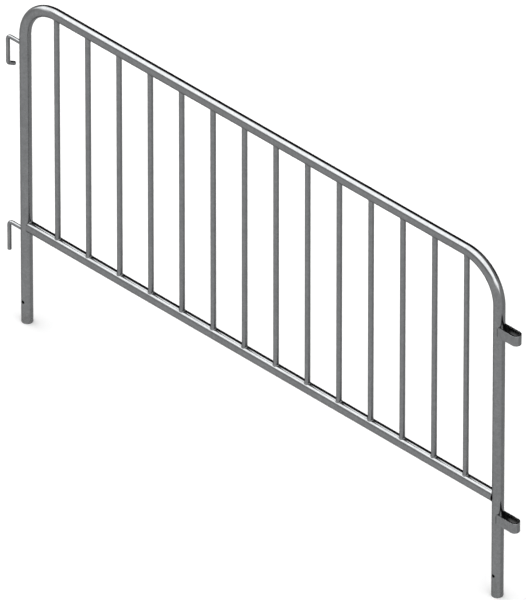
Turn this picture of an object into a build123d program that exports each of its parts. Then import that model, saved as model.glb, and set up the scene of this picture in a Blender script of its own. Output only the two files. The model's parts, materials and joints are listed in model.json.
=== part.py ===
"""Crowd control barrier: a bent tube frame with a lower rail and fourteen upright bars.

Two rod hooks on the left leg drop into the two strap loops on the right leg of the next panel.
Millimetres. X runs along the panel from the hooks to the loops, Y from the front to the rear, Z up.
The origin is on the ground, midway between the axes of the two legs.
"""

import os
from math import cos, radians, sin, sqrt

from build123d import *

os.makedirs("parts", exist_ok=True)

# Outer frame, one size of tube for the legs, the bends and both rails
overall_height = 1100.0
leg_spacing = 1816.0
tube_diameter = 33.7
tube_wall = 2.0
bend_radius = 125.0
foot_edge_break = 0.5

# Lower rail and upright bars
lower_rail_height = 323.5
rail_end_gap = 12.5
bar_count = 14
bar_spacing = 120.8
bar_diameter = 16.0
bar_wall = 1.5

# Cross holes for the pins of removable feet
foot_hole_diameter = 10.5
foot_hole_height = 71.0

# Hooks on the left leg, bent from round rod
rod_diameter = 12.0
rod_bend_radius = 12.0
rod_edge_break = 1.0
hook_reach = 68.0
hook_spacing = 620.0
lower_hook_height = 302.5
lower_pin_drop = 94.5
upper_pin_drop = 90.5
tail_length = 28.5
tail_turn = radians(60.0)

# Loops on the right leg, bent from flat strap
strap_thickness = 5.0
strap_height = 32.0
strap_edge_radius = 0.4
loop_width = 30.0
loop_reach = 63.6
loop_drop_below_hook = 40.0

# Weld beads, by the size of their legs
weld_leg = 1.8

tube_radius = tube_diameter / 2
tube_bore_radius = tube_radius - tube_wall
bar_radius = bar_diameter / 2
rod_radius = rod_diameter / 2
leg_x = leg_spacing / 2
top_rail_height = overall_height - tube_radius
bend_start_height = top_rail_height - bend_radius
bend_end_x = leg_x - bend_radius
first_bar_x = -bar_spacing * (bar_count - 1) / 2
upper_hook_height = lower_hook_height + hook_spacing
loop_outer_radius = loop_width / 2
loop_inner_radius = loop_outer_radius - strap_thickness

bar_positions = [first_bar_x + bar_spacing * number for number in range(bar_count)]
hook_heights = (lower_hook_height, upper_hook_height)
loop_heights = tuple(height - loop_drop_below_hook for height in hook_heights)


def write(part, label):
    """Name a finished piece and write it to its own STEP file."""
    part.label = label
    export_step(part, f"parts/{label}.step")


# Solid outlines of the frame and the lower rail: they notch the pieces that butt against them.
# The outlines that are fatter by a weld's leg bound the weld beads.

frame_path = FilletPolyline(
    (-leg_x, 0, 0),
    (-leg_x, 0, top_rail_height),
    (leg_x, 0, top_rail_height),
    (leg_x, 0, 0),
    radius=bend_radius,
)

with BuildPart() as frame_outline:
    with BuildSketch(Plane.XY) as frame_section:
        with Locations((-leg_x, 0)):
            Circle(tube_radius)
    sweep(path=frame_path)

with BuildPart() as frame_weld_outline:
    with BuildSketch(Plane.XY) as frame_weld_section:
        with Locations((-leg_x, 0)):
            Circle(tube_radius + weld_leg)
    sweep(path=frame_path)

with BuildPart() as lower_rail_outline:
    with BuildSketch(Plane.YZ):
        with Locations((0, lower_rail_height)):
            Circle(tube_radius)
    extrude(amount=leg_x, both=True)

with BuildPart() as lower_rail_weld_outline:
    with BuildSketch(Plane.YZ):
        with Locations((0, lower_rail_height)):
            Circle(tube_radius + weld_leg)
    extrude(amount=leg_x, both=True)


# Legs and bends

for side, direction in (("left", -1), ("right", 1)):
    with BuildPart() as leg:
        with BuildSketch(Plane.XY):
            with Locations((direction * leg_x, 0)):
                Circle(tube_radius)
                Circle(tube_bore_radius, mode=Mode.SUBTRACT)
        extrude(amount=bend_start_height)
        chamfer(leg.faces().sort_by(Axis.Z)[0].edges(), foot_edge_break)
        with BuildSketch(Plane.XZ):
            with Locations((direction * leg_x, foot_hole_height)):
                Circle(foot_hole_diameter / 2)
        extrude(amount=tube_diameter, both=True, mode=Mode.SUBTRACT)
    write(leg.part, f"{side}_leg")

    with BuildPart() as bend:
        with BuildSketch(Plane.XY.offset(bend_start_height)):
            with Locations((direction * leg_x, 0)):
                Circle(tube_radius)
                Circle(tube_bore_radius, mode=Mode.SUBTRACT)
        bend_axis = Axis((direction * bend_end_x, 0, bend_start_height), (0, -direction, 0))
        revolve(axis=bend_axis, revolution_arc=90)
    write(bend.part, f"{side}_bend")


# Rails

with BuildPart() as top_rail:
    with BuildSketch(Plane.YZ):
        with Locations((0, top_rail_height)):
            Circle(tube_radius)
            Circle(tube_bore_radius, mode=Mode.SUBTRACT)
    extrude(amount=bend_end_x, both=True)
write(top_rail.part, "top_rail")

with BuildPart() as lower_rail:
    with BuildSketch(Plane.YZ):
        with Locations((0, lower_rail_height)):
            Circle(tube_radius)
            Circle(tube_bore_radius, mode=Mode.SUBTRACT)
    extrude(amount=leg_x - rail_end_gap, both=True)
    add(frame_outline.part, mode=Mode.SUBTRACT)
write(lower_rail.part, "lower_rail")


# Upright bars, notched at both ends onto the rails

for number, bar_x in enumerate(bar_positions, start=1):
    with BuildPart() as bar:
        with BuildSketch(Plane.XY.offset(lower_rail_height)):
            with Locations((bar_x, 0)):
                Circle(bar_radius)
                Circle(bar_radius - bar_wall, mode=Mode.SUBTRACT)
        extrude(amount=top_rail_height - lower_rail_height)
        add(frame_outline.part, mode=Mode.SUBTRACT)
        add(lower_rail_outline.part, mode=Mode.SUBTRACT)
    write(bar.part, f"bar_{number:02d}")


# Hooks: an arm out from the leg, then a pin straight down. The upper pin ends in a tail
# kicked to the rear, so that a panel can't be lifted out of the loops without tilting it.

pin_x = -leg_x - hook_reach
tail_corner = Vector(pin_x, 0, upper_hook_height - upper_pin_drop)
tail_end = tail_corner + Vector(0, sin(tail_turn), -cos(tail_turn)) * tail_length

with BuildPart() as lower_hook:
    with BuildLine() as lower_hook_path:
        FilletPolyline(
            (-leg_x, 0, lower_hook_height),
            (pin_x, 0, lower_hook_height),
            (pin_x, 0, lower_hook_height - lower_pin_drop),
            radius=rod_bend_radius,
        )
    with BuildSketch(Plane(origin=lower_hook_path.line @ 0, z_dir=(-1, 0, 0))):
        Circle(rod_radius)
    sweep()
    chamfer(lower_hook.faces().sort_by(Axis.Z)[0].edges(), rod_edge_break)
    add(frame_outline.part, mode=Mode.SUBTRACT)
write(lower_hook.part, "lower_hook")

with BuildPart() as upper_hook:
    with BuildLine() as upper_hook_path:
        FilletPolyline(
            (-leg_x, 0, upper_hook_height),
            (pin_x, 0, upper_hook_height),
            tail_corner,
            tail_end,
            radius=rod_bend_radius,
        )
    with BuildSketch(Plane(origin=upper_hook_path.line @ 0, z_dir=(-1, 0, 0))):
        Circle(rod_radius)
    sweep()
    chamfer(upper_hook.faces().sort_by(Axis.Y)[-1].edges(), rod_edge_break)
    add(frame_outline.part, mode=Mode.SUBTRACT)
write(upper_hook.part, "upper_hook")


# Loops: flat strap on edge, bent round a half circle, both ends against the leg

loops = []
for name, loop_height in zip(("lower_loop", "upper_loop"), loop_heights):
    with BuildPart() as loop:
        with BuildSketch(Plane.XY.offset(loop_height - strap_height / 2)):
            with Locations((leg_x + loop_reach, 0)):
                Circle(loop_outer_radius)
            with Locations((leg_x + loop_reach / 2, 0)):
                Rectangle(loop_reach, 2 * loop_outer_radius)
            with Locations((leg_x + loop_reach, 0)):
                Circle(loop_inner_radius, mode=Mode.SUBTRACT)
            with Locations((leg_x + loop_reach / 2, 0)):
                Rectangle(loop_reach, 2 * loop_inner_radius, mode=Mode.SUBTRACT)
        extrude(amount=strap_height)
        rims = loop.faces().filter_by(Axis.Z).edges()
        fillet(rims, strap_edge_radius)
        add(frame_outline.part, mode=Mode.SUBTRACT)
    write(loop.part, name)
    loops.append(loop.part)


# Weld beads: each group is one node of separate beads

with BuildPart() as bar_bottom_welds:
    with BuildSketch(Plane.XY.offset(lower_rail_height)):
        with Locations([(bar_x, 0) for bar_x in bar_positions]):
            Circle(bar_radius + weld_leg)
            Circle(bar_radius, mode=Mode.SUBTRACT)
    extrude(amount=2 * tube_radius)
    add(lower_rail_weld_outline.part, mode=Mode.INTERSECT)
    add(lower_rail_outline.part, mode=Mode.SUBTRACT)
write(bar_bottom_welds.part, "bar_bottom_welds")

with BuildPart() as bar_top_welds:
    with BuildSketch(Plane.XY.offset(top_rail_height)):
        with Locations([(bar_x, 0) for bar_x in bar_positions]):
            Circle(bar_radius + weld_leg)
            Circle(bar_radius, mode=Mode.SUBTRACT)
    extrude(amount=-2 * tube_radius)
    add(frame_weld_outline.part, mode=Mode.INTERSECT)
    add(frame_outline.part, mode=Mode.SUBTRACT)
write(bar_top_welds.part, "bar_top_welds")

# The lower rail is welded above and below, where its notched end touches the leg
notch_half_width = sqrt(tube_radius**2 - rail_end_gap**2)

with BuildPart() as lower_rail_welds:
    for direction in (-1, 1):
        with BuildSketch(Plane.YZ.offset(direction * leg_x)):
            with Locations((0, lower_rail_height)):
                Circle(tube_radius + weld_leg)
                Circle(tube_radius, mode=Mode.SUBTRACT)
                Rectangle(
                    2 * notch_half_width, 2 * tube_diameter, mode=Mode.INTERSECT
                )
        extrude(amount=-direction * tube_diameter)
    add(frame_weld_outline.part, mode=Mode.INTERSECT)
    add(frame_outline.part, mode=Mode.SUBTRACT)
write(lower_rail_welds.part, "lower_rail_welds")

with BuildPart() as hook_welds:
    with BuildSketch(Plane.YZ.offset(-leg_x)):
        with Locations([(0, height) for height in hook_heights]):
            Circle(rod_radius + weld_leg)
            Circle(rod_radius, mode=Mode.SUBTRACT)
    extrude(amount=-tube_diameter)
    add(frame_weld_outline.part, mode=Mode.INTERSECT)
    add(frame_outline.part, mode=Mode.SUBTRACT)
write(hook_welds.part, "hook_welds")

# The strap ends lie nearly along the leg, so their beads are rounds laid in the shallow corner
strap_end_x = leg_x + sqrt(tube_radius**2 - loop_outer_radius**2)

with BuildPart() as loop_welds:
    for loop_height in loop_heights:
        with BuildSketch(Plane.XY.offset(loop_height - strap_height / 2 + weld_leg)):
            with Locations((strap_end_x, -loop_outer_radius), (strap_end_x, loop_outer_radius)):
                Circle(weld_leg)
        extrude(amount=strap_height - 2 * weld_leg)
    add(frame_outline.part, mode=Mode.SUBTRACT)
    for loop in loops:
        add(loop, mode=Mode.SUBTRACT)
write(loop_welds.part, "loop_welds")
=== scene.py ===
"""Crowd control barrier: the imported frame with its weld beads, galvanised finish and a plain studio.

Metres, in the frame's own axes: X along the panel from the hooks to the loops, Y to the rear, Z up.
"""

import json
from math import cos, pi, radians, sin, sqrt

import bmesh
import bpy
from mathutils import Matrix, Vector, noise


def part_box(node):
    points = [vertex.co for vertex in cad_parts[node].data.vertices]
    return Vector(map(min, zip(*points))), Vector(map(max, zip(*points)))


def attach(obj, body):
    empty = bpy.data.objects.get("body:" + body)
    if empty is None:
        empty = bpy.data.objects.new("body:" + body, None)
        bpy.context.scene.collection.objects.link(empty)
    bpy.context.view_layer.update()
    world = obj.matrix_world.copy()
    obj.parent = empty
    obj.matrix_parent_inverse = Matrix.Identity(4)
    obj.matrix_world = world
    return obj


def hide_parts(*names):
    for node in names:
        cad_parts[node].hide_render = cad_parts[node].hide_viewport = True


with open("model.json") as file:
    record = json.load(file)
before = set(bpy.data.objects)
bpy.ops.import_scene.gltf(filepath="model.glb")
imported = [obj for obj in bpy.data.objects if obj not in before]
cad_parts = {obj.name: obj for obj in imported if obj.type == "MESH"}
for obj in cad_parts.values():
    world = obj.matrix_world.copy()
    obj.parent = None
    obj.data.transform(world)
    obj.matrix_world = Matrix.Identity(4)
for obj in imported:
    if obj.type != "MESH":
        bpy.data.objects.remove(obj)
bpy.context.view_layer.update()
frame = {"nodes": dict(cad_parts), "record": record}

MM = 0.001


# Places and sizes, read from the frame

def middle(node):
    """Centre of a node's box."""
    low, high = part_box(node)
    return (low + high) / 2


def width(node, axis):
    """Size of a node's box along one axis: 0, 1 or 2 for X, Y or Z."""
    low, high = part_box(node)
    return high[axis] - low[axis]


bar_nodes = sorted(name for name in frame["nodes"] if name.startswith("bar_") and name[4:].isdigit())

tube_radius = width("left_leg", 0) / 2
bar_radius = max(width(node, 1) for node in bar_nodes) / 2
rod_radius = width("lower_hook", 1) / 2
left_leg_x = middle("left_leg").x
right_leg_x = middle("right_leg").x
top_rail_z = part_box("left_bend")[1].z - tube_radius
lower_rail_z = middle("lower_rail").z
hook_arm_heights = [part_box(node)[1].z - rod_radius for node in ("lower_hook", "upper_hook")]
hook_pin_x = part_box("lower_hook")[0].x + rod_radius
loop_tip_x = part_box("lower_loop")[1].x - width("lower_loop", 1) / 2


# Camera

view_azimuth = radians(45.0)
view_elevation = radians(35.264)
lens_mm = 1400.0
sensor_mm = 36.0
frame_height = 1.6393
aim_right = 0.0071
aim_up = 0.4278


def make_camera():
    """A very long lens, far off, so that the view is nearly parallel."""
    data = bpy.data.cameras.new("camera")
    data.lens = lens_mm
    data.sensor_width = sensor_mm
    distance = frame_height * lens_mm / sensor_mm
    data.clip_start = 1.0
    data.clip_end = 3 * distance
    camera = bpy.data.objects.new("camera", data)
    bpy.context.scene.collection.objects.link(camera)
    back = Vector((
        sin(view_azimuth) * cos(view_elevation),
        -cos(view_azimuth) * cos(view_elevation),
        sin(view_elevation),
    ))
    right = Vector((cos(view_azimuth), sin(view_azimuth), 0.0))
    aim = right * aim_right + back.cross(right) * aim_up
    camera.location = aim + back * distance
    camera.rotation_mode = "QUATERNION"
    camera.rotation_quaternion = (-back).to_track_quat("-Z", "Y")
    bpy.context.scene.camera = camera


make_camera()


# Node helpers

class Nodes:
    """Short way to add and join nodes in one tree."""

    def __init__(self, tree):
        self.tree = tree

    def add(self, kind, inputs=None, **settings):
        """Add a node; an input is set to a value, or joined to a socket."""
        node = self.tree.nodes.new(kind)
        for name, value in settings.items():
            setattr(node, name, value)
        for name, value in (inputs or {}).items():
            socket = node.inputs[name]
            if isinstance(value, bpy.types.NodeSocket):
                self.tree.links.new(value, socket)
            else:
                socket.default_value = value
        return node

    def math(self, operation, first, second=0.0, clamp=False):
        """A Math node's result."""
        node = self.add("ShaderNodeMath", {0: first, 1: second}, operation=operation, use_clamp=clamp)
        return node.outputs[0]

    def remap(self, value, low, high, new_low, new_high, smooth=False):
        """A value taken from one range to another, held at the ends of the first."""
        kind = "SMOOTHSTEP" if smooth else "LINEAR"
        node = self.add(
            "ShaderNodeMapRange",
            {"Value": value, "From Min": low, "From Max": high, "To Min": new_low, "To Max": new_high},
            interpolation_type=kind,
        )
        return node.outputs["Result"]

    def blend(self, amount, first, second, kind="MIX"):
        """Two colours mixed by an amount."""
        node = self.add("ShaderNodeMix", data_type="RGBA", blend_type=kind)
        for index, value in ((0, amount), (6, first), (7, second)):
            socket = node.inputs[index]
            if isinstance(value, bpy.types.NodeSocket):
                self.tree.links.new(value, socket)
            else:
                socket.default_value = value
        return node.outputs[2]


def grey(level):
    """An opaque neutral colour."""
    return (level, level, level, 1.0)


# Studio: a long softbox overhead runs the way the panel does and comes down at both of its ends,
# the surround is grey, and two dark flags stand behind: a tall one at the hooks' end and a low one.
# Each pair is a fade along one axis of the unit direction, from its start to its end.

softbox_strength = 2.05
softbox_front_slope = 1.18
softbox_rear_slope = 1.9
softbox_edge = (-0.14, 0.16)
front_end_fade = (0.62, 0.92)
rear_end_fade = (0.80, 0.94)
end_foot_fade = (0.07, 0.45)
front_to_rear = (-0.05, 0.05)
bright_side = radians(20.0)
bright_grey = 0.445
dull_grey = 0.32
bright_side_fade = (-0.10, 0.42)
upper_front_share = 0.5
upper_front_fade = (0.1, 0.65)
flag_depth = 0.98
flag_start = (0.33, 0.58)
tall_flag_foot = (-0.52, -0.30)
tall_flag_side = (-0.35, -0.10)
low_flag_foot = (-0.24, -0.08)
low_flag_top = (0.25, 0.45)
low_flag_side = (0.28, 0.50)
later_bounce_share = 0.15
later_bounce_depth = 2.5


def make_world():
    """Light and reflections come from these bands; the camera itself sees plain white.

    Light that has bounced before is dimmed, so that the corners between pieces go dark.
    """
    world = bpy.data.worlds.new("studio")
    bpy.context.scene.world = world
    world.use_nodes = True
    world.node_tree.nodes.clear()
    n = Nodes(world.node_tree)
    direction = n.add("ShaderNodeTexCoord").outputs["Generated"]
    x, y, z = n.add("ShaderNodeSeparateXYZ", {0: direction}).outputs
    rearward = n.remap(y, *front_to_rear, 0.0, 1.0)
    slope = n.remap(rearward, 0.0, 1.0, softbox_front_slope, softbox_rear_slope)
    strip = n.math("SUBTRACT", z, n.math("MULTIPLY", n.math("ABSOLUTE", y), slope))
    strip = n.remap(strip, *softbox_edge, 0.0, 1.0, smooth=True)
    front_end = n.remap(n.math("ABSOLUTE", x), *front_end_fade, 0.0, 1.0, smooth=True)
    rear_end = n.remap(n.math("ABSOLUTE", x), *rear_end_fade, 0.0, 1.0, smooth=True)
    ends = n.remap(rearward, 0.0, 1.0, front_end, rear_end)
    ends = n.math("MULTIPLY", ends, n.remap(z, *end_foot_fade, 0.0, 1.0, smooth=True))
    softbox = n.math("MAXIMUM", strip, ends)
    towards_x = n.math("MULTIPLY", x, sin(bright_side))
    towards_front = n.math("MULTIPLY", y, -cos(bright_side))
    brightness = n.math("ADD", towards_x, towards_front)
    surround = n.remap(brightness, *bright_side_fade, dull_grey, bright_grey, smooth=True)
    upper_front = n.remap(z, *upper_front_fade, 1.0, upper_front_share, smooth=True)
    surround = n.math("MULTIPLY", surround, upper_front)
    behind = n.remap(y, *flag_start, 0.0, flag_depth, smooth=True)
    tall_flag = n.remap(z, *tall_flag_foot, 0.0, 1.0, smooth=True)
    tall_flag = n.math("MULTIPLY", tall_flag, n.remap(x, *tall_flag_side, 1.0, 0.0, smooth=True))
    low_flag = n.remap(z, *low_flag_foot, 0.0, 1.0, smooth=True)
    low_flag = n.math("MULTIPLY", low_flag, n.remap(z, *low_flag_top, 1.0, 0.0, smooth=True))
    low_flag = n.math("MULTIPLY", low_flag, n.remap(x, *low_flag_side, 1.0, 0.0, smooth=True))
    flag = n.math("MULTIPLY", behind, n.math("MAXIMUM", tall_flag, low_flag))
    surround = n.math("MULTIPLY", surround, n.math("SUBTRACT", 1.0, flag))
    strength = n.remap(softbox, 0.0, 1.0, surround, softbox_strength)
    path = n.add("ShaderNodeLightPath").outputs
    later = n.math("GREATER_THAN", path["Ray Depth"], later_bounce_depth)
    strength = n.math("MULTIPLY", strength, n.remap(later, 0.0, 1.0, 1.0, later_bounce_share))
    lights = n.add("ShaderNodeBackground", {"Color": strength, "Strength": 1.0})
    backdrop = n.add("ShaderNodeBackground", {"Color": grey(1.0), "Strength": 1.0})
    shaders = {0: path["Is Camera Ray"], 1: lights.outputs[0], 2: backdrop.outputs[0]}
    mix = n.add("ShaderNodeMixShader", shaders)
    n.add("ShaderNodeOutputWorld", {"Surface": mix.outputs[0]})


make_world()

scene_view = bpy.context.scene.view_settings
scene_view.view_transform = "Standard"
scene_view.look = "None"


def make_floor():
    """A plain pale floor, kept out of the metal's reflections."""
    half = 20.0
    mesh = bpy.data.meshes.new("floor")
    corners = [(-half, -half, 0.0), (half, -half, 0.0), (half, half, 0.0), (-half, half, 0.0)]
    mesh.from_pydata(corners, [], [(0, 1, 2, 3)])
    floor = bpy.data.objects.new("floor", mesh)
    bpy.context.scene.collection.objects.link(floor)
    material = bpy.data.materials.new("pale_floor")
    material.use_nodes = True
    shader = material.node_tree.nodes["Principled BSDF"]
    shader.inputs["Base Color"].default_value = grey(0.95)
    shader.inputs["Roughness"].default_value = 0.9
    shader.inputs["Specular IOR Level"].default_value = 0.0
    mesh.materials.append(material)
    floor.visible_glossy = False


make_floor()


# Galvanised finish, as shader node groups

crystal_warp = 6.0 * MM
crystal_share = 0.50
cloud_share = 0.30
run_share = 0.20
crystal_line_share = 0.10
relief_height = 0.3 * MM

grime_height = 80.0 * MM
grime_share = 0.45
painted_bore_shade_top = (0.12, 0.16)
rub_below_arm = 45.0 * MM
rub_reach = 24.0 * MM
rub_share = 0.6
eye_wall = (10.6 * MM, 12.0 * MM)
eye_painted_shade_share = 0.7

def new_group(name, inputs, outputs):
    """An empty node group with float inputs and the outputs' kinds."""
    tree = bpy.data.node_groups.new(name, "ShaderNodeTree")
    for label, value in inputs.items():
        socket = tree.interface.new_socket(label, in_out="INPUT", socket_type="NodeSocketFloat")
        socket.default_value = value
    for label, kind in outputs.items():
        tree.interface.new_socket(label, in_out="OUTPUT", socket_type=kind)
    n = Nodes(tree)
    return n, n.add("NodeGroupInput").outputs, n.add("NodeGroupOutput")


def make_spangle_group():
    """Zinc crystals: one tone for each crystal, the fine lines between them, and a height."""
    n, given, result = new_group(
        "zinc_spangle",
        {"Crystals per metre": 170.0},
        {"Tone": "NodeSocketFloat", "Boundary": "NodeSocketFloat", "Height": "NodeSocketFloat"},
    )
    place = n.add("ShaderNodeTexCoord").outputs["Object"]
    sway = n.add("ShaderNodeTexNoise", {"Vector": place, "Scale": 90.0, "Detail": 2.0})
    half = (0.5, 0.5, 0.5)
    centred = n.add("ShaderNodeVectorMath", {0: sway.outputs["Color"], 1: half}, operation="SUBTRACT")
    sideways = {0: centred.outputs[0], "Scale": crystal_warp}
    moved = n.add("ShaderNodeVectorMath", sideways, operation="SCALE")
    warped = n.add("ShaderNodeVectorMath", {0: place, 1: moved.outputs[0]}, operation="ADD").outputs[0]
    grid = {"Vector": warped, "Scale": given[0]}
    crystal = n.add("ShaderNodeTexVoronoi", grid)
    edge = n.add("ShaderNodeTexVoronoi", grid, feature="DISTANCE_TO_EDGE")
    tone = n.add("ShaderNodeSeparateColor", {0: crystal.outputs["Color"]}).outputs[0]
    boundary = n.remap(edge.outputs["Distance"], 0.0, 0.10, 1.0, 0.0)
    grain = n.add("ShaderNodeTexNoise", {"Vector": place, "Scale": 900.0, "Detail": 3.0}).outputs["Fac"]
    raised = n.math("ADD", n.math("MULTIPLY", tone, 0.45), n.math("MULTIPLY", grain, 0.35))
    height = n.math("SUBTRACT", raised, n.math("MULTIPLY", boundary, 0.2))
    for socket, value in zip(result.inputs, (tone, boundary, height)):
        n.tree.links.new(value, socket)
    return n.tree


def make_cloud_group():
    """Slow patches, a few centimetres across, where the zinc has dulled."""
    n, given, result = new_group(
        "zinc_clouds",
        {"Patches per metre": 22.0},
        {"Dullness": "NodeSocketFloat"},
    )
    place = n.add("ShaderNodeTexCoord").outputs["Object"]
    large = n.add(
        "ShaderNodeTexNoise",
        {"Vector": place, "Scale": given[0], "Detail": 4.0, "Roughness": 0.6, "Distortion": 0.4},
    ).outputs["Fac"]
    dull = n.remap(large, 0.36, 0.64, 0.0, 1.0, smooth=True)
    n.tree.links.new(dull, result.inputs[0])
    return n.tree


def make_runs_group():
    """Faint streaks where molten zinc ran down as the panel was drawn from the bath, end up."""
    n, given, result = new_group(
        "zinc_runs",
        {"Streaks per metre": 150.0, "Length": 0.07},
        {"Streak": "NodeSocketFloat"},
    )
    place = n.add("ShaderNodeTexCoord").outputs["Object"]
    x, y, z = n.add("ShaderNodeSeparateXYZ", {0: place}).outputs
    slow_z = n.math("MULTIPLY", z, given[1])
    drawn_out = n.add("ShaderNodeCombineXYZ", {0: x, 1: y, 2: slow_z}).outputs[0]
    streak = n.add("ShaderNodeTexNoise", {"Vector": drawn_out, "Scale": given[0], "Detail": 3.0})
    streak = streak.outputs["Fac"]
    n.tree.links.new(n.remap(streak, 0.32, 0.68, 0.0, 1.0), result.inputs[0])
    return n.tree


def make_rub_group():
    """Wear round a spot: a soft-edged patch, broken up by scratches."""
    n, given, result = new_group(
        "rubbed_patch",
        {"Spot X": 0.0, "Spot Y": 0.0, "Spot Z": 0.0, "Reach": 0.02},
        {"Wear": "NodeSocketFloat"},
    )
    place = n.add("ShaderNodeTexCoord").outputs["Object"]
    spot = n.add("ShaderNodeCombineXYZ", {0: given[0], 1: given[1], 2: given[2]}).outputs[0]
    away = n.add("ShaderNodeVectorMath", {0: place, 1: spot}, operation="DISTANCE").outputs["Value"]
    far = n.math("DIVIDE", away, given[3])
    scratches = n.add("ShaderNodeTexNoise", {"Vector": place, "Scale": 420.0, "Detail": 4.0})
    scratches = n.math("SUBTRACT", scratches.outputs["Fac"], 0.5)
    ragged = n.math("ADD", far, n.math("MULTIPLY", scratches, 0.9))
    n.tree.links.new(n.remap(ragged, 0.45, 1.05, 1.0, 0.0, smooth=True), result.inputs[0])
    return n.tree


def make_ground_group():
    """Dirt and scuffs on the lowest stretch of the legs, thinning out upwards."""
    n, given, result = new_group(
        "ground_grime",
        {"Height": 0.09},
        {"Grime": "NodeSocketFloat"},
    )
    place = n.add("ShaderNodeTexCoord").outputs["Object"]
    z = n.add("ShaderNodeSeparateXYZ", {0: place}).outputs[2]
    share = n.remap(n.math("DIVIDE", z, given[0]), 0.0, 1.0, 1.0, 0.0, smooth=True)
    specks = n.add("ShaderNodeTexNoise", {"Vector": place, "Scale": 160.0, "Detail": 5.0})
    specks = n.remap(specks.outputs["Fac"], 0.42, 0.66, 0.15, 1.0)
    n.tree.links.new(n.math("MULTIPLY", share, specks), result.inputs[0])
    return n.tree


def make_hollow_group():
    """The inner wall of something hollow, by its distance in plan from a centre line along X."""
    n, given, result = new_group(
        "hollow",
        {"Start": 0.9, "End": 1.0, "Inner": 0.01, "Outer": 0.0125},
        {"Inside": "NodeSocketFloat"},
    )
    place = n.add("ShaderNodeTexCoord").outputs["Object"]
    x, y, z = n.add("ShaderNodeSeparateXYZ", {0: place}).outputs
    on_line = n.math("MINIMUM", n.math("MAXIMUM", x, given[0]), given[1])
    beyond = n.math("SUBTRACT", x, on_line)
    squares = n.math("ADD", n.math("MULTIPLY", beyond, beyond), n.math("MULTIPLY", y, y))
    radius = n.math("SQRT", squares)
    n.tree.links.new(n.remap(radius, given[2], given[3], 1.0, 0.0), result.inputs[0])
    return n.tree


spangle_group = make_spangle_group()
cloud_group = make_cloud_group()
runs_group = make_runs_group()
rub_group = make_rub_group()
ground_group = make_ground_group()
hollow_group = make_hollow_group()


class Zinc:
    """What a galvanised material is made from so far: its nodes, colour and roughness."""

    def __init__(self, nodes, colour, shine):
        self.nodes = nodes
        self.colour = colour
        self.shine = shine

    def cover(self, mask, colour, roughness):
        """Lay another tone and roughness over the zinc where the mask is."""
        self.colour = self.nodes.blend(mask, self.colour, colour)
        self.shine = self.nodes.remap(mask, 0.0, 1.0, self.shine, roughness)


def inner_wall(zinc, start, end, inner, outer):
    """Mask of the surfaces nearer than the outer distance to a line from start to end along X."""
    hollow = zinc.nodes.add("ShaderNodeGroup", node_tree=hollow_group)
    for label, value in (("Start", start), ("End", end), ("Inner", inner), ("Outer", outer)):
        hollow.inputs[label].default_value = value
    return hollow.outputs[0]


def feet_grime_and_painted_bore_shade(zinc):
    """Street dirt on the legs close to the ground, and painted shade that darkens the inner wall near
    their open ends.
    """
    n = zinc.nodes
    grime = n.add("ShaderNodeGroup", node_tree=ground_group)
    grime.inputs["Height"].default_value = grime_height
    zinc.cover(n.math("MULTIPLY", grime.outputs[0], grime_share), (0.20, 0.19, 0.175, 1.0), 0.5)
    place = n.add("ShaderNodeTexCoord").outputs["Object"]
    height = n.add("ShaderNodeSeparateXYZ", {0: place}).outputs[2]
    near_foot = n.remap(height, *painted_bore_shade_top, 1.0, 0.0)
    bore_wall = (tube_radius - 1.6 * MM, tube_radius - 0.7 * MM)
    # Painted shade: each leg's inner wall near its foot is painted near-black, so the pin holes look
    # dark.
    for leg_x in (left_leg_x, right_leg_x):
        bore = inner_wall(zinc, leg_x, leg_x, *bore_wall)
        zinc.cover(n.math("MULTIPLY", bore, near_foot), (0.04, 0.038, 0.036, 1.0), 0.55)


def rubbed_pins(zinc):
    """Bright rub marks where a neighbour's loops hang on the hooks."""
    n = zinc.nodes
    for height in hook_arm_heights:
        patch = n.add("ShaderNodeGroup", node_tree=rub_group)
        patch.inputs["Spot X"].default_value = hook_pin_x + rod_radius
        patch.inputs["Spot Z"].default_value = height - rub_below_arm
        patch.inputs["Reach"].default_value = rub_reach
        zinc.cover(n.math("MULTIPLY", patch.outputs[0], rub_share), grey(0.56), 0.08)


def painted_shade_in_eyes(zinc):
    """Painted shade: the loops are darker inside, as if shade lay in their eyes."""
    eye = inner_wall(zinc, right_leg_x, loop_tip_x, *eye_wall)
    # Painted shade: the inner faces of each loop's eye get a near-black tone and a duller shine.
    zinc.cover(zinc.nodes.math("MULTIPLY", eye, eye_painted_shade_share), (0.09, 0.088, 0.085, 1.0), 0.24)


def galvanised(name, bright, dull, roughness, crystals=170.0, bump=0.12, marks=None):
    """Hot-dip zinc on steel: crystals and dull patches between two greys, with its own shine."""
    material = bpy.data.materials.new(name)
    material.use_nodes = True
    n = Nodes(material.node_tree)
    shader = material.node_tree.nodes["Principled BSDF"]
    shader.inputs["Metallic"].default_value = 1.0
    spangle = n.add("ShaderNodeGroup", node_tree=spangle_group)
    spangle.inputs["Crystals per metre"].default_value = crystals
    clouds = n.add("ShaderNodeGroup", node_tree=cloud_group)
    runs = n.add("ShaderNodeGroup", node_tree=runs_group)
    mottle = n.math("MULTIPLY", spangle.outputs["Tone"], crystal_share)
    mottle = n.math("ADD", mottle, n.math("MULTIPLY", clouds.outputs["Dullness"], cloud_share))
    mottle = n.math("ADD", mottle, n.math("MULTIPLY", runs.outputs["Streak"], run_share))
    line = n.math("MULTIPLY", spangle.outputs["Boundary"], crystal_line_share)
    zinc = Zinc(n, n.blend(mottle, bright, dull), n.remap(mottle, 0.0, 1.0, *roughness))
    zinc.colour = n.blend(line, zinc.colour, grey(0.20))
    if marks:
        marks(zinc)
    relief = n.add(
        "ShaderNodeBump",
        {"Strength": bump, "Distance": relief_height, "Height": spangle.outputs["Height"]},
    )
    n.tree.links.new(zinc.colour, shader.inputs["Base Color"])
    n.tree.links.new(zinc.shine, shader.inputs["Roughness"])
    n.tree.links.new(relief.outputs["Normal"], shader.inputs["Normal"])
    return material


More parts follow.
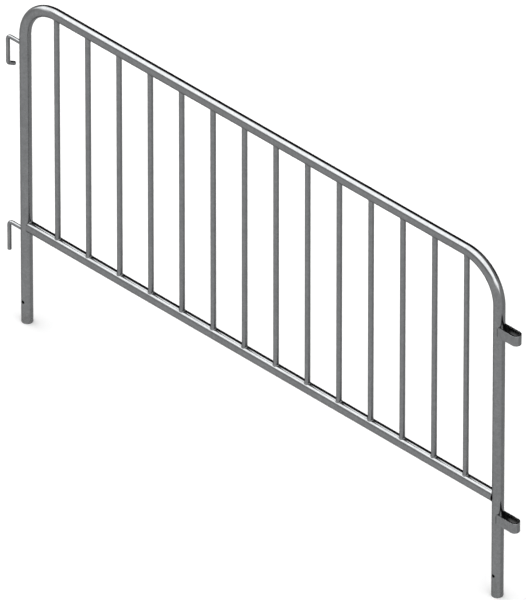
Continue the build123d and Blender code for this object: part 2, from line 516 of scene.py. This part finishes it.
finishes = {
    "galvanised_tube": galvanised(
        "galvanised_tube", (0.50, 0.51, 0.52, 1.0), (0.40, 0.41, 0.42, 1.0), (0.13, 0.21),
        marks=feet_grime_and_painted_bore_shade),
    "galvanised_rod": galvanised(
        "galvanised_rod", (0.50, 0.51, 0.52, 1.0), (0.40, 0.41, 0.42, 1.0), (0.12, 0.20), 210.0,
        marks=rubbed_pins),
    "galvanised_strap": galvanised(
        "galvanised_strap", (0.48, 0.49, 0.50, 1.0), (0.38, 0.39, 0.40, 1.0), (0.12, 0.22),
        marks=painted_shade_in_eyes),
    "galvanised_weld": galvanised(
        "galvanised_weld", (0.30, 0.305, 0.31, 1.0), (0.20, 0.205, 0.21, 1.0), (0.30, 0.42), 260.0,
        bump=0.2),
}

slot_of_node = {row["node"]: row["material_slot"] for row in frame["record"]["subparts"]}
for node, piece in frame["nodes"].items():
    finish = finishes[slot_of_node[node]]
    if piece.material_slots:
        for material_slot in piece.material_slots:
            material_slot.material = finish
    else:
        piece.data.materials.append(finish)


# Frame tube: legs, bends and top rail are one bent tube, with the pin holes drilled through its feet

tube_wall = 2.0 * MM
foot_round = 0.5 * MM
foot_round_steps = 4
tube_sides = 96
bend_steps = 36
straight_step = 40.0 * MM
pin_hole_radius = 5.25 * MM
pin_hole_height = 71.0 * MM
pin_hole_sides = 40
crisp_angle = radians(40.0)


def tube_stations():
    """Centre line of the frame, foot to foot: each place, and the way to the frame's outside."""
    leg_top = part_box("left_leg")[1].z
    rail_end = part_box("top_rail")[1].x
    bend_radius = top_rail_z - leg_top
    leg_runs = round(leg_top / straight_step)
    rail_runs = round(2 * rail_end / straight_step)
    stations = []
    for step in range(leg_runs):
        height = leg_top * step / leg_runs
        stations.append((Vector((left_leg_x, 0.0, height)), Vector((-1.0, 0.0, 0.0))))
    for step in range(bend_steps):
        turn = pi / 2 * step / bend_steps
        outward = Vector((-cos(turn), 0.0, sin(turn)))
        stations.append((Vector((-rail_end, 0.0, leg_top)) + outward * bend_radius, outward))
    for step in range(rail_runs):
        along = -rail_end + 2 * rail_end * step / rail_runs
        stations.append((Vector((along, 0.0, top_rail_z)), Vector((0.0, 0.0, 1.0))))
    for step in range(bend_steps):
        turn = pi / 2 * step / bend_steps
        outward = Vector((sin(turn), 0.0, cos(turn)))
        stations.append((Vector((rail_end, 0.0, leg_top)) + outward * bend_radius, outward))
    for step in range(leg_runs + 1):
        height = leg_top * (1 - step / leg_runs)
        stations.append((Vector((right_leg_x, 0.0, height)), Vector((1.0, 0.0, 0.0))))
    return stations


def foot_rings(x, outward):
    """Rings round the cut end of a leg, from its outer wall to its inner wall, with rounded edges."""
    outer_edge = tube_radius - foot_round
    inner_edge = tube_radius - tube_wall + foot_round
    rings = []
    for start, edge_radius in ((0.0, outer_edge), (pi / 2, inner_edge)):
        for step in range(foot_round_steps + 1):
            turn = start + pi / 2 * step / foot_round_steps
            radius = edge_radius + foot_round * cos(turn)
            height = foot_round * (1 - sin(turn))
            rings.append((Vector((x, 0.0, height)), outward, radius))
    return rings


def make_frame_tube():
    """Outer wall, one cut foot, inner wall and the other foot, as one closed skin."""
    stations = tube_stations()
    left = Vector((-1.0, 0.0, 0.0))
    right = Vector((1.0, 0.0, 0.0))
    rings = [(place, outward, tube_radius) for place, outward in stations[1:-1]]
    rings += foot_rings(right_leg_x, right)
    rings += [(place, outward, tube_radius - tube_wall) for place, outward in reversed(stations[1:-1])]
    rings += reversed(foot_rings(left_leg_x, left))
    skin = bmesh.new()
    loops = []
    for place, outward, radius in rings:
        loop = []
        for side in range(tube_sides):
            turn = 2 * pi * side / tube_sides
            offset = outward * cos(turn) + Vector((0.0, 1.0, 0.0)) * sin(turn)
            loop.append(skin.verts.new(place + offset * radius))
        loops.append(loop)
    bridge(skin, loops, closed=True)
    return new_piece("frame_tube", skin)


def bridge(skin, loops, closed):
    """Quads between neighbouring rings of points; a closed run joins its last ring to its first."""
    sides = len(loops[0])
    count = len(loops) if closed else len(loops) - 1
    for index in range(count):
        here, there = loops[index], loops[(index + 1) % len(loops)]
        for side in range(sides):
            after = (side + 1) % sides
            skin.faces.new((here[side], here[after], there[after], there[side]))


def write_skin(skin, mesh):
    """Put a bmesh into a mesh: normals out, smooth-shaded, with crisp edges where it turns sharply."""
    bmesh.ops.recalc_face_normals(skin, faces=skin.faces)
    for face in skin.faces:
        face.smooth = True
    for edge in skin.edges:
        edge.smooth = edge.calc_face_angle(0.0) < crisp_angle
    skin.to_mesh(mesh)
    skin.free()


def new_piece(name, skin):
    """An object at the origin from a bmesh."""
    mesh = bpy.data.meshes.new(name)
    write_skin(skin, mesh)
    piece = bpy.data.objects.new(name, mesh)
    bpy.context.scene.collection.objects.link(piece)
    return piece


def drill(piece, centres, radius, length):
    """Cut round holes along Y, with crisp edges."""
    drills = bmesh.new()
    for centre in centres:
        ends = []
        for end in (-length / 2, length / 2):
            ring = []
            for side in range(pin_hole_sides):
                turn = 2 * pi * side / pin_hole_sides
                offset = Vector((radius * cos(turn), end, radius * sin(turn)))
                ring.append(drills.verts.new(centre + offset))
            ends.append(ring)
        bridge(drills, ends, closed=False)
        for ring in ends:
            drills.faces.new(ring)
    tool = new_piece("drills", drills)
    cut = piece.modifiers.new("holes", "BOOLEAN")
    cut.operation = "DIFFERENCE"
    cut.solver = "EXACT"
    cut.object = tool
    shaped = piece.evaluated_get(bpy.context.evaluated_depsgraph_get())
    skin = bmesh.new()
    skin.from_mesh(shaped.to_mesh())
    shaped.to_mesh_clear()
    piece.modifiers.clear()
    write_skin(skin, piece.data)
    bpy.data.objects.remove(tool)


frame_tube = make_frame_tube()
pin_holes = [Vector((x, 0.0, pin_hole_height)) for x in (left_leg_x, right_leg_x)]
drill(frame_tube, pin_holes, pin_hole_radius, 3 * tube_radius)
frame_tube.data.materials.append(finishes["galvanised_tube"])
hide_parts("left_leg", "left_bend", "top_rail", "right_bend", "right_leg")
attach(frame_tube, "root")


# Weld beads: a rippled fillet laid along the line where two pieces meet

bead_leg = 1.8 * MM
bead_root_depth = 0.4 * MM
bead_toe_depth = 0.12 * MM
bead_crown = 0.35 * MM
ripple_pitch = 1.5 * MM
ripple_steps = 5
ripple_height = 0.22
ripple_lag = 0.35
toe_sway = 0.14
toe_sway_scale = 260.0
crown_points = 7
bead_end_share = 0.12
seam_points = 96

up = Vector((0.0, 0.0, 1.0))
ahead = Vector((1.0, 0.0, 0.0))
rear = Vector((0.0, 1.0, 0.0))


def bead_station(place, first, second, along, share):
    """One section of a bead: its buried root, its two toes and the rippled crown between them."""
    crown_way = (first + second).normalized()
    into_first = (second - first * first.dot(second)).normalized()
    into_second = (first - second * second.dot(first)).normalized()
    sway = 1 + toe_sway * noise.noise(place * toe_sway_scale)
    leg = bead_leg * sway * share
    toe_a = place + first * leg - into_first * bead_toe_depth
    toe_b = place + second * leg - into_second * bead_toe_depth
    points = [place - crown_way * bead_root_depth * share]
    for step in range(crown_points):
        across = 2 * step / (crown_points - 1) - 1
        arch = 1 - across * across
        phase = (along / ripple_pitch + ripple_lag * arch) % 1.0
        ripple = ripple_height * leg * arch * sqrt(phase)
        chord = toe_a.lerp(toe_b, (across + 1) / 2)
        points.append(chord + crown_way * (bead_crown * share * arch + ripple))
    return points


def lay_bead(skin, seam, closed):
    """A bead along a seam, which gives each place and the two ways that the bead's legs lie.

    An open bead shrinks to a blunt point at both ends.
    """
    loops = []
    lengths = [0.0]
    for here, there in zip(seam, seam[1:]):
        lengths.append(lengths[-1] + (there[0] - here[0]).length)
    total = lengths[-1]
    turns = max(1, round(total / ripple_pitch))
    count = turns * ripple_steps
    index = 0
    for step in range(count if closed else count + 1):
        distance = total * step / count
        while index < len(seam) - 2 and lengths[index + 1] < distance:
            index += 1
        share_along = (distance - lengths[index]) / (lengths[index + 1] - lengths[index])
        place, first, second = (a.lerp(b, share_along) for a, b in zip(seam[index], seam[index + 1]))
        fade = 1.0
        if not closed:
            from_full = 1 - min(distance, total - distance, bead_leg) / bead_leg
            fade = max(bead_end_share, sqrt(max(0.0, 1 - from_full**2)))
        along = distance * turns * ripple_pitch / total
        section = bead_station(place, first.normalized(), second.normalized(), along, fade)
        loops.append([skin.verts.new(point) for point in section])
    bridge(skin, loops, closed)
    if not closed:
        skin.faces.new(loops[0])
        skin.faces.new(loops[-1])


def on_surface(way, normal):
    """A way laid into the surface that has this normal."""
    return (way - normal * way.dot(normal)).normalized()


def round_seam(centre, away, tube_axis, small_radius):
    """Seam of a small round piece that leaves the frame tube, or the lower rail, along a way."""
    side = away.cross(tube_axis)
    seam = []
    for step in range(seam_points + 1):
        turn = 2 * pi * step / seam_points
        outward = tube_axis * cos(turn) + side * sin(turn)
        across = small_radius * sin(turn)
        rise = sqrt(tube_radius**2 - across**2)
        place = centre + outward * small_radius + away * rise
        tube_normal = (side * across + away * rise) / tube_radius
        seam.append((place, away, on_surface(outward, tube_normal)))
    return seam


def make_bar_welds(name, rail_z, away):
    """One bead round each bar, where it stands on or hangs from a rail."""
    skin = bmesh.new()
    for node in bar_nodes:
        centre = Vector((middle(node).x, 0.0, rail_z))
        lay_bead(skin, round_seam(centre, away, ahead, bar_radius), closed=True)
    return new_piece(name, skin)


def make_hook_welds():
    """One bead round each hook's arm on the left leg."""
    skin = bmesh.new()
    for height in hook_arm_heights:
        centre = Vector((left_leg_x, 0.0, height))
        lay_bead(skin, round_seam(centre, -ahead, up, rod_radius), closed=True)
    return new_piece("hook_weld_beads", skin)


def make_lower_rail_welds():
    """Beads above and below each end of the lower rail, where its notched end touches the leg."""
    reach = width("lower_rail_welds", 1) / 2 - 2 * bead_toe_depth
    skin = bmesh.new()
    for leg_x, away in ((left_leg_x, ahead), (right_leg_x, -ahead)):
        for upward in (1, -1):
            seam = []
            for step in range(seam_points // 2 + 1):
                y = reach * (4 * step / seam_points - 1)
                rise = sqrt(tube_radius**2 - y**2)
                place = Vector((leg_x, y, lower_rail_z)) + away * rise + up * upward * rise
                leg_normal = (rear * y + away * rise) / tube_radius
                rail_normal = (rear * y + up * upward * rise) / tube_radius
                seam.append((place, on_surface(away, rail_normal), on_surface(up * upward, leg_normal)))
            lay_bead(skin, seam, closed=False)
    return new_piece("lower_rail_weld_beads", skin)


def make_loop_welds():
    """Upright beads in the shallow corners between the leg and the two ends of each strap."""
    skin = bmesh.new()
    for node in ("lower_loop", "upper_loop"):
        low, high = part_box(node)
        for side in (1, -1):
            y = side * width(node, 1) / 2
            reach = sqrt(tube_radius**2 - y**2)
            leg_normal = (ahead * reach + rear * y) / tube_radius
            round_the_leg = on_surface(-ahead, leg_normal)
            start = Vector((right_leg_x + reach, y, low.z + bead_leg))
            end = Vector((right_leg_x + reach, y, high.z - bead_leg))
            seam = [(start, ahead, round_the_leg), (end, ahead, round_the_leg)]
            lay_bead(skin, seam, closed=False)
    return new_piece("loop_weld_beads", skin)


weld_beads = {
    "bar_bottom_welds": make_bar_welds("bar_bottom_weld_beads", lower_rail_z, up),
    "bar_top_welds": make_bar_welds("bar_top_weld_beads", top_rail_z, -up),
    "hook_welds": make_hook_welds(),
    "lower_rail_welds": make_lower_rail_welds(),
    "loop_welds": make_loop_welds(),
}
for node, beads in weld_beads.items():
    beads.data.materials.append(finishes["galvanised_weld"])
    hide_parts(node)
    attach(beads, "root")
